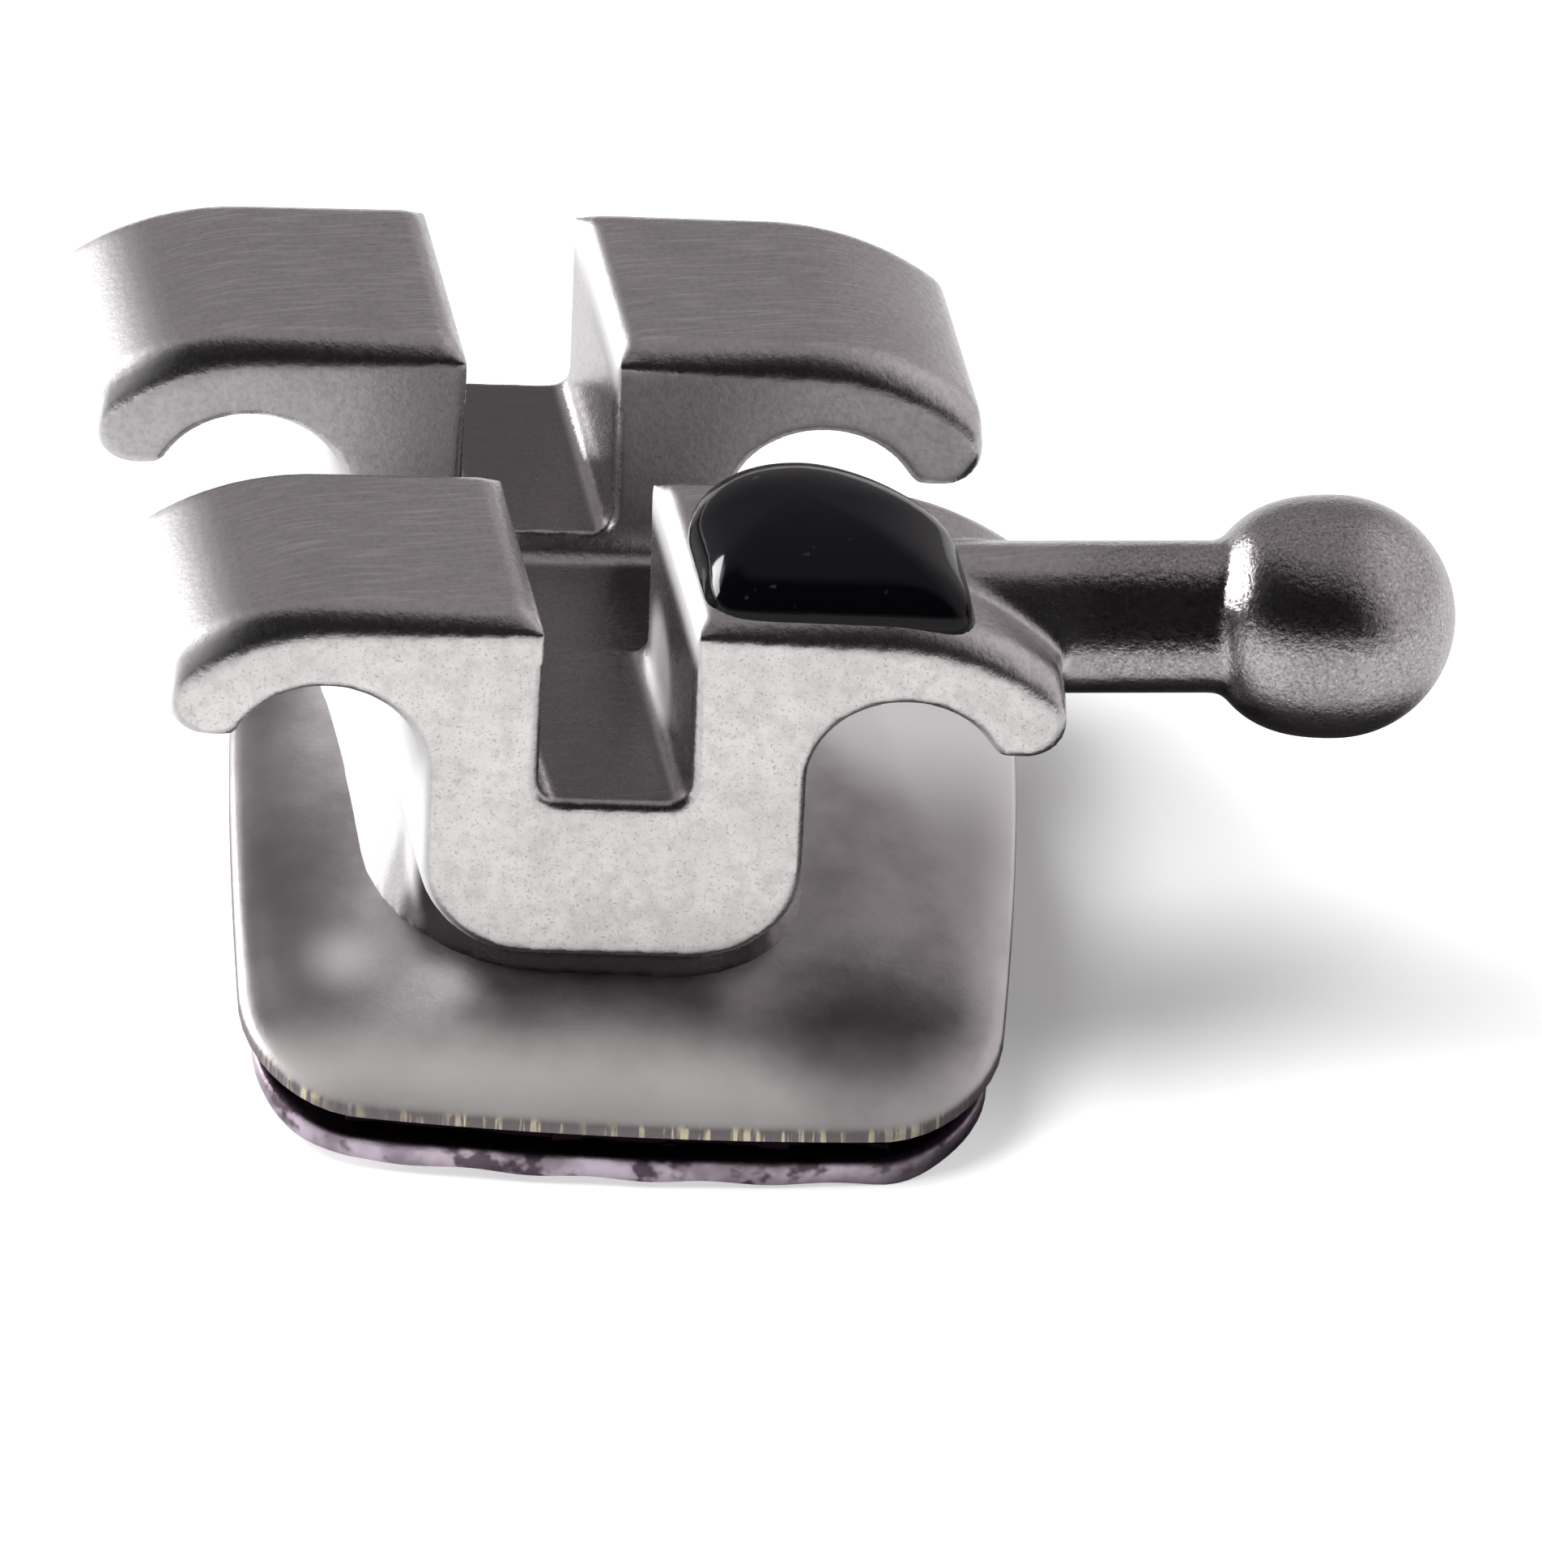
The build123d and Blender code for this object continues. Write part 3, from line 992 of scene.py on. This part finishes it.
padLook = {
    "cloudNoise": (2.0, 4, 0.6),
    "grainNoise": (50, 3, 0.6),
    "cutNoise": (1.0, 2, 0.5),
    "cutStretch": (36000, 36000, 2500),
    "frontFacing": (0.5, 0.9),
    "steel": (0.36, 0.34, 0.345, 1),
    "cloud": {"range": (0.3, 0.7), "share": 1, "colour": (0.6, 0.58, 0.58, 1)},
    "leftPaintedShade": {"range": (-0.75, -1.15), "share": 0.6, "colour": (0.2, 0.19, 0.195, 1)},
    "near": {"range": (-1.5, -1.85), "share": 0.7, "colour": (0.66, 0.64, 0.63, 1)},
    "nearDullness": 0.42,
    "raggedness": 0.25,
    "darkReflectionPlace": (0.95, -1.74, 0),
    "darkReflection": {"range": (0.5, 0.12), "share": 0.7, "colour": (0.1, 0.08, 0.09, 1)},
    "highlightSlant": 0.8,
    "highlightFar": (0.55, 1.1),
    "highlightFarShare": 0.8,
    "highlightRim": (1.25, 1.45),
    "highlightRimShare": 0.4,
    "patchPlace": (-0.97, -1.19, 0.18),
    "patchReach": (0.28, 0.0),
    "patchShare": 0.5,
    "highlightColour": (0.86, 0.84, 0.85, 1),
    "highlightDullness": 0.6,
    "edge": {"range": (0.6, 0.1), "share": 0.8, "colour": (0.16, 0.13, 0.14, 1)},
    "teethCut": (0.5, 0.62),
    "teethSpread": (0.4, 0.6),
    "teethHighlightColour": (0.8, 0.74, 0.55, 1),
    "rough": {"base": 0.26, "cloud": 0.14, "grain": 0.1, "edge": 0.1, "near": 0.15},
    "grainRelief": (0.1, 0.00001),
    "cutRelief": (0.5, 0.00002),
}


def padSteel():
    f = Finish("padSteel")
    look = padLook
    spot = f.place()
    cloud = f.noise(spot, *look["cloudNoise"])
    grain = f.noise(spot, *look["grainNoise"])
    cutLines = f.noise(f.place(look["cutStretch"]), *look["cutNoise"])
    across = f.axis(spot, "X")
    lengthways = f.dot(spot, endNormal)
    upward = f.facing(upwards)
    edge = f.ramp(upward, *look["edge"]["range"])
    near = f.ramp(lengthways, *look["near"]["range"])
    front = f.ramp(f.facing(-endNormal), *look["frontFacing"])
    ragged = look["raggedness"] * (cloud - noiseMiddle)
    tone = f.tint(look["steel"], cloud, look["cloud"])
    # painted shade along the pad's left side
    tone = f.tint(tone, across, look["leftPaintedShade"])
    # the near margin is painted paler and duller, as light on it
    tone = f.tint(tone, lengthways, look["near"])
    # a painted dark reflection on the near margin, right of the stem
    tone = f.tint(tone, f.away(look["darkReflectionPlace"]) + ragged, look["darkReflection"])
    # painted highlights: paler at the far right, along the right rim and in one patch left of the stem
    slanted = across + look["highlightSlant"] * f.axis(spot, "Y")
    paintedHighlight = f.ramp(slanted, *look["highlightFar"]) * look["highlightFarShare"]
    paintedHighlight = paintedHighlight + f.ramp(across, *look["highlightRim"]) * look["highlightRimShare"]
    patch = f.ramp(f.away(look["patchPlace"]) + ragged, *look["patchReach"])
    paintedHighlight = f.ramp(paintedHighlight + patch * look["patchShare"], 0, 1)
    tone = f.mix(paintedHighlight, tone, look["highlightColour"])
    # the sheared edge is painted dark as shade, and its cut teeth are painted bright as a highlight along
    # the near side only
    tone = f.tint(tone, upward, look["edge"])
    teeth = edge * front * f.ramp(cutLines, *look["teethCut"]) * f.ramp(cloud, *look["teethSpread"])
    tone = f.mix(teeth, tone, look["teethHighlightColour"])
    r = look["rough"]
    rough = r["base"] + r["cloud"] * cloud + r["grain"] * grain + r["edge"] * edge + r["near"] * near
    metal = (1 - look["nearDullness"] * near * (1 - edge)) * (1 - look["highlightDullness"] * paintedHighlight)
    relief = f.bump(grain, *look["grainRelief"])
    relief = f.bump(cutLines * edge, *look["cutRelief"], relief)
    f.end(**{"Base Color": tone, "Metallic": metal, "Roughness": rough, "Normal": relief})
    return f.holder


meshLook = {
    "grainNoise": (30, 4, 0.6),
    "cloudNoise": (4, 3, 0.6),
    "breakNoise": (5, 3, 0.65),
    "wire": (0.3, 0.25, 0.29, 1),
    "lavenderSheen": {"range": (0.36, 0.66), "share": 1, "colour": (0.64, 0.54, 0.64, 1)},
    "upperShade": {"range": (0.3, 0.62), "share": 1, "colour": (0.035, 0.022, 0.028, 1)},
    "broken": {"range": (0.52, 0.62), "share": 0.85, "colour": (0.05, 0.03, 0.045, 1)},
    "brokenFacing": (0.3, 0.7),
    "gapShade": {"range": (0.095, 0.115), "share": 1, "colour": (0.012, 0.006, 0.011, 1)},
    "rough": {"base": 0.3, "grain": 0.2},
    "grainRelief": (0.2, 0.00002),
}


def meshSteel():
    f = Finish("meshSteel")
    look = meshLook
    spot = f.place()
    grain = f.noise(spot, *look["grainNoise"])
    cloud = f.noise(spot, *look["cloudNoise"])
    breaks = f.noise(spot, *look["breakNoise"])
    front = f.ramp(f.facing(-endNormal), *look["brokenFacing"])
    # a painted lavender sheen in patches, painted shade on the wires' upper sides, and dark patches that
    # break the sheen on their front sides
    tone = f.tint(look["wire"], cloud, look["lavenderSheen"])
    tone = f.tint(tone, f.facing(upwards), look["upperShade"])
    tone = f.tint(tone, breaks, look["broken"], front)
    # painted shade from a height over the tooth, on the dark sheet and the upper wires
    onTooth = f.place(turn=(0, 0, tooth["tip"]))
    x = f.axis(onTooth, "X")
    y = f.axis(onTooth, "Y")
    bow = tooth["acrossRadius"] - (tooth["acrossRadius"] ** 2 - y * y) ** 0.5
    overTooth = f.axis(onTooth, "Z") + bow + x * x / (2 * tooth["alongRadius"])
    tone = f.tint(tone, overTooth, look["gapShade"])
    rough = look["rough"]["base"] + look["rough"]["grain"] * grain
    relief = f.bump(grain, *look["grainRelief"])
    f.end(**{"Base Color": tone, "Metallic": 1.0, "Roughness": rough, "Normal": relief})
    return f.holder


dotLook = {
    "cloudNoise": (3, 3, 0.5),
    "fleckNoise": (14, 2, 0.5),
    "resin": (0.0015, 0.0015, 0.0025, 1),
    "fleck": {"range": (0.7, 0.78), "share": 0.6, "colour": (0.05, 0.04, 0.045, 1)},
    "rough": {"base": 0.05, "cloud": 0.06},
    "relief": (0.12, 0.00003),
    "refraction": 1.4,
    "gloss": 0.3,
}


def dotResin():
    f = Finish("dotResin")
    look = dotLook
    spot = f.place()
    cloud = f.noise(spot, *look["cloudNoise"])
    tone = f.tint(look["resin"], f.noise(spot, *look["fleckNoise"]), look["fleck"])
    rough = look["rough"]["base"] + look["rough"]["cloud"] * cloud
    relief = f.bump(cloud, *look["relief"])
    f.end(**{"Base Color": tone, "Roughness": rough, "Normal": relief, "IOR": look["refraction"],
             "Specular IOR Level": look["gloss"]})
    return f.holder


def dress(piece, material):
    piece.data.materials.clear()
    piece.data.materials.append(material)


# Build

wingBody = makeWingBody()
finishPiece(wingBody, "wingBody", "wing_body")
dress(wingBody, bodySteel())

basePad = makePad()
finishPiece(basePad, "basePad", "base_pad", pad["smoothAngle"])
dress(basePad, padSteel())

bondingMesh = makeWeave()
finishPiece(bondingMesh, "bondingMesh", "bonding_mesh", weave["smoothAngle"])
dress(bondingMesh, meshSteel())

resinDot = makeDot()
finishPiece(resinDot, "resinDot", "identification_dot")
dress(resinDot, dotResin())


# Studio: a pale floor, a soft light from the left, a grey room that is dark behind the camera

studio = {
    "floorSize": 3.0,
    "floorColour": (0.86, 0.86, 0.86, 1),
    "floorDark": (0.05, 0.047, 0.047, 1),
    "floorTopUp": 0.2,
    "floorFarGlow": 0.35,
    "shadowPlace": (1.9, -0.2, 0),
    "shadowReach": (0.7, 2.0),
    "hookShade": (2.6, -1.1, 0),
    "hookShadeReach": (2.4, 1.3),
    "overheadPlace": (-0.14, -0.04, 0.26),
    "overheadSize": (0.17, 0.17),
    "overheadPower": 0.95,
    "windowPlace": (-0.25, 0.15, 0.06),
    "windowSize": (0.22, 0.09),
    "windowPower": 1.05,
    "lampTarget": (0, 0, 0.001),
}

room = {
    "colour": (1, 0.93, 0.965, 1),
    "backGrey": 0.3,
    "zenithGrey": 0.34,
    "rightGrey": 0.75,
    "frontDark": 0.012,
    "fill": 0.4,
    "windowGlow": 5,
    "ceiling": {"way": upwards, "range": (0.6, 0.95)},
    "right": {"way": (0.95, 0.1, 0.3), "range": (0.5, 0.9)},
    "front": {"way": (-0.663, -0.748, 0), "range": (0.05, 0.35)},
    "overFloor": {"way": upwards, "range": (0.02, 0.14)},
    "underCeiling": {"way": upwards, "range": (0.99, 0.88)},
    "window": {"way": (-0.84, 0.51, 0.18), "range": (0.93, 0.985)},
}

camera = {
    "azimuth": radians(-10.56),
    "elevation": radians(33),
    "roll": radians(2.45),
    "pixelsPerMm": 330,
    "anchor": Vector((0, -1.5, 1.73)),
    "anchorPixel": (768, 783),
    "frame": (1904, 1936),
    "distance": 120,
    "sensor": 36,
    "clip": (0.001, 2),
}


def makeFloor():
    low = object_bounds()[0][2]
    clearSelection()
    bpy.ops.mesh.primitive_plane_add(size=studio["floorSize"], location=(0, 0, low))
    floor = bpy.context.object
    floor.name = "floor"
    f = Finish("paleFloor")
    seen = f.node("LightPath", out="Is Camera Ray")
    mirrored = f.node("LightPath", out="Is Glossy Ray")
    through = f.node("LightPath", out="Is Transmission Ray")
    # the steel mirrors a shaded floor under the hook
    shade = mirrored * f.ramp(f.away(studio["hookShade"]), *studio["hookShadeReach"])
    lit = f.node("BsdfDiffuse", None, {"Color": studio["floorColour"]})
    dim = f.node("BsdfDiffuse", None, {"Color": studio["floorDark"]})
    matte = f.node("MixShader", None, {0: shade, 1: lit, 2: dim})
    # beyond the object's shadow the floor is lifted to white
    beyond = f.ramp(f.away(studio["shadowPlace"]), *studio["shadowReach"])
    lift = (seen + through) * (studio["floorTopUp"] + beyond * studio["floorFarGlow"])
    glow = f.node("Emission", None, {"Color": f.mix(lift, (0, 0, 0, 1), (1, 1, 1, 1)), "Strength": 1})
    both = f.node("AddShader", None, {0: matte, 1: glow})
    f.node("OutputMaterial", None, {"Surface": both})
    floor.data.materials.append(f.holder)


def makeLamp(name, place, size, power, inReflections):
    bpy.ops.object.light_add(type="AREA", location=place)
    lamp = bpy.context.object
    lamp.name = name
    lamp.data.shape = "RECTANGLE"
    lamp.data.size, lamp.data.size_y = size
    lamp.data.energy = power
    lamp.visible_glossy = inReflections
    aim = Vector(studio["lampTarget"]) - Vector(place)
    lamp.rotation_euler = aim.to_track_quat("-Z", "Y").to_euler()


def makeRoom():
    # grey walls, a lighter ceiling and right side, and darkness behind the camera
    world = bpy.data.worlds.new("room")
    bpy.context.scene.world = world
    f = Finish("room", world)
    way = f.node("TexCoord", out="Generated")

    def towards(side):
        return f.ramp(f.dot(way, side["way"]), *side["range"])

    grey = room["backGrey"]
    level = grey + towards(room["ceiling"]) * (room["zenithGrey"] - grey)
    level = level + towards(room["right"]) * (room["rightGrey"] - grey)
    dark = towards(room["front"]) * towards(room["overFloor"]) * towards(room["underCeiling"])
    level = level * (1 - dark) + room["frontDark"]
    level = level * (1 - (1 - room["fill"]) * f.node("LightPath", out="Is Diffuse Ray"))
    window = towards(room["window"]) * f.node("LightPath", out="Is Glossy Ray")
    level = level + window * room["windowGlow"]
    back = f.node("Background", None, {"Color": room["colour"], "Strength": level})
    f.node("OutputWorld", None, {"Surface": back})


def makeCamera():
    c = camera
    a, e, roll = c["azimuth"], c["elevation"], c["roll"]
    right = Vector((cos(a), sin(a), 0))
    up = Vector((-sin(a) * sin(e), cos(a) * sin(e), cos(e)))
    back = right.cross(up)
    turnedRight = right * cos(roll) + up * sin(roll)
    turnedUp = up * cos(roll) - right * sin(roll)
    width, height = c["frame"]
    shiftX = (width / 2 - c["anchorPixel"][0]) / c["pixelsPerMm"]
    shiftY = (height / 2 - c["anchorPixel"][1]) / c["pixelsPerMm"]
    target = c["anchor"] + turnedRight * shiftX - turnedUp * shiftY
    place = (target + back * c["distance"]) * milli
    bpy.ops.object.camera_add(location=place)
    eye = bpy.context.object
    eye.name = "camera"
    axes = Matrix((turnedRight, turnedUp, back)).transposed()
    eye.rotation_euler = axes.to_euler()
    eye.data.sensor_width = c["sensor"]
    eye.data.lens = c["sensor"] * c["distance"] / (height / c["pixelsPerMm"])
    eye.data.clip_start, eye.data.clip_end = c["clip"]
    bpy.context.scene.camera = eye


makeFloor()
makeLamp("overhead", studio["overheadPlace"], studio["overheadSize"], studio["overheadPower"], False)
makeLamp("window", studio["windowPlace"], studio["windowSize"], studio["windowPower"], True)
makeRoom()
makeCamera()
bpy.context.scene.view_settings.view_transform = "Standard"
print("studio ready")
